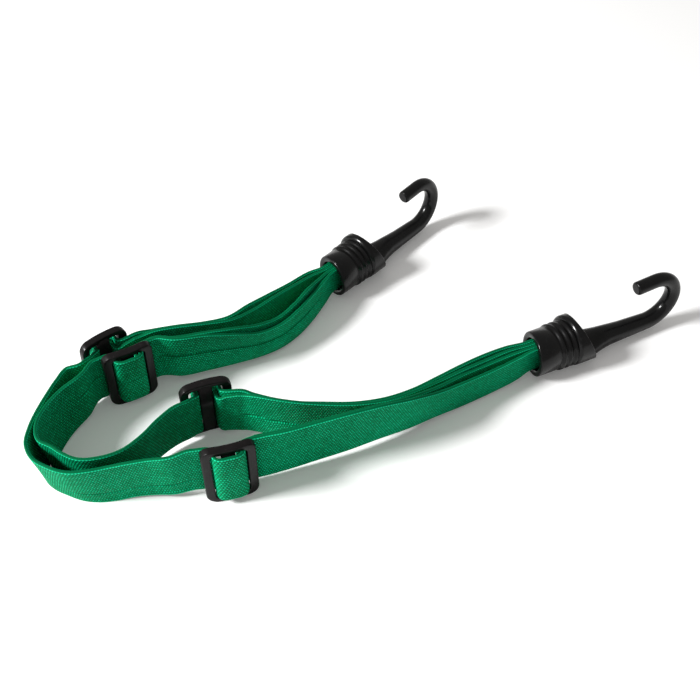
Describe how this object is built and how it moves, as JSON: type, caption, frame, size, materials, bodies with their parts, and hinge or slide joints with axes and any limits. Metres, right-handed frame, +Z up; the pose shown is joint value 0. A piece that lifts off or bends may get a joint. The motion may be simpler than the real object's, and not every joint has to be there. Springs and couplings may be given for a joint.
{
  "type": "bungee cord",
  "caption": "Adjustable flat elastic strap: two webbings side by side between moulded hooks, with sliders that set the length, laid in a loop on its edge.",
  "frame": {"origin": "middle of the laid strap's outline, on the floor that it lies on", "axes": "+Z up from the floor, +X along the longest extent towards the hooks, +Y to the left of it, away from the viewer"},
  "size_m": [0.2102, 0.143, 0.0254],
  "materials": {
    "webbing": "woven elastic with a light sheen",
    "slider": "satin moulded",
    "hook": "semi-gloss moulded",
    "pin": "drawn wire"
  },
  "bodies": {
    "webbings": {"webbing_outer_loop": "webbing", "webbing_inner_loop": "webbing", "webbing_outer_near_running": "webbing", "webbing_outer_near_return": "webbing", "webbing_inner_near_running": "webbing", "webbing_inner_near_return": "webbing", "webbing_inner_far_running": "webbing", "webbing_inner_far_return": "webbing", "webbing_outer_far_running": "webbing", "webbing_outer_far_return": "webbing"},
    "outer_near_slider": {"slider_outer_near": "slider", "webbing_outer_near_over_bar": "webbing", "webbing_outer_near_hemmed_tail": "webbing"},
    "inner_near_slider": {"slider_inner_near": "slider", "webbing_inner_near_over_bar": "webbing", "webbing_inner_near_hemmed_tail": "webbing"},
    "inner_far_slider": {"slider_inner_far": "slider", "webbing_inner_far_over_bar": "webbing", "webbing_inner_far_hemmed_tail": "webbing"},
    "outer_far_slider": {"slider_outer_far": "slider", "webbing_outer_far_over_bar": "webbing", "webbing_outer_far_hemmed_tail": "webbing"},
    "near_hook": {"hook_near": "hook", "anchor_pin_outer_near": "pin", "anchor_pin_inner_near": "pin", "webbing_outer_near_round_pin": "webbing", "webbing_inner_near_round_pin": "webbing"},
    "far_hook": {"hook_far": "hook", "anchor_pin_inner_far": "pin", "anchor_pin_outer_far": "pin", "webbing_inner_far_round_pin": "webbing", "webbing_outer_far_round_pin": "webbing"}
  },
  "joints": [
    {"name": "outer_near_slider_slide", "type": "slide", "parent": "webbings", "child": "outer_near_slider", "axis": [0.9563, 0.2924, 0], "range_m": [-0.008, 0.02], "deforming": ["webbing_outer_loop", "webbing_outer_near_running", "webbing_outer_near_return"]},
    {"name": "inner_near_slider_slide", "type": "slide", "parent": "webbings", "child": "inner_near_slider", "axis": [0.9367, 0.3502, 0], "range_m": [-0.008, 0.02], "deforming": ["webbing_inner_loop", "webbing_inner_near_running", "webbing_inner_near_return"]},
    {"name": "inner_far_slider_slide", "type": "slide", "parent": "webbings", "child": "inner_far_slider", "axis": [0.8704, 0.4924, 0], "range_m": [-0.008, 0.014], "deforming": ["webbing_inner_loop", "webbing_inner_far_running", "webbing_inner_far_return"]},
    {"name": "outer_far_slider_slide", "type": "slide", "parent": "webbings", "child": "outer_far_slider", "axis": [0.7431, 0.6691, 0], "range_m": [-0.008, 0.012], "deforming": ["webbing_outer_loop", "webbing_outer_far_running", "webbing_outer_far_return"]},
    {"name": "near_hook_pull", "type": "slide", "parent": "webbings", "child": "near_hook", "axis": [0.9026, 0.4305, 0], "range_m": [0, 0.04], "stiffness_N_per_m": 800, "deforming": ["webbing_outer_near_running", "webbing_outer_near_return", "webbing_inner_near_running", "webbing_inner_near_return"]},
    {"name": "far_hook_pull", "type": "slide", "parent": "webbings", "child": "far_hook", "axis": [0.6769, 0.7361, 0], "range_m": [0, 0.03], "stiffness_N_per_m": 1070, "deforming": ["webbing_inner_far_running", "webbing_inner_far_return", "webbing_outer_far_running", "webbing_outer_far_return"]}
  ]
}
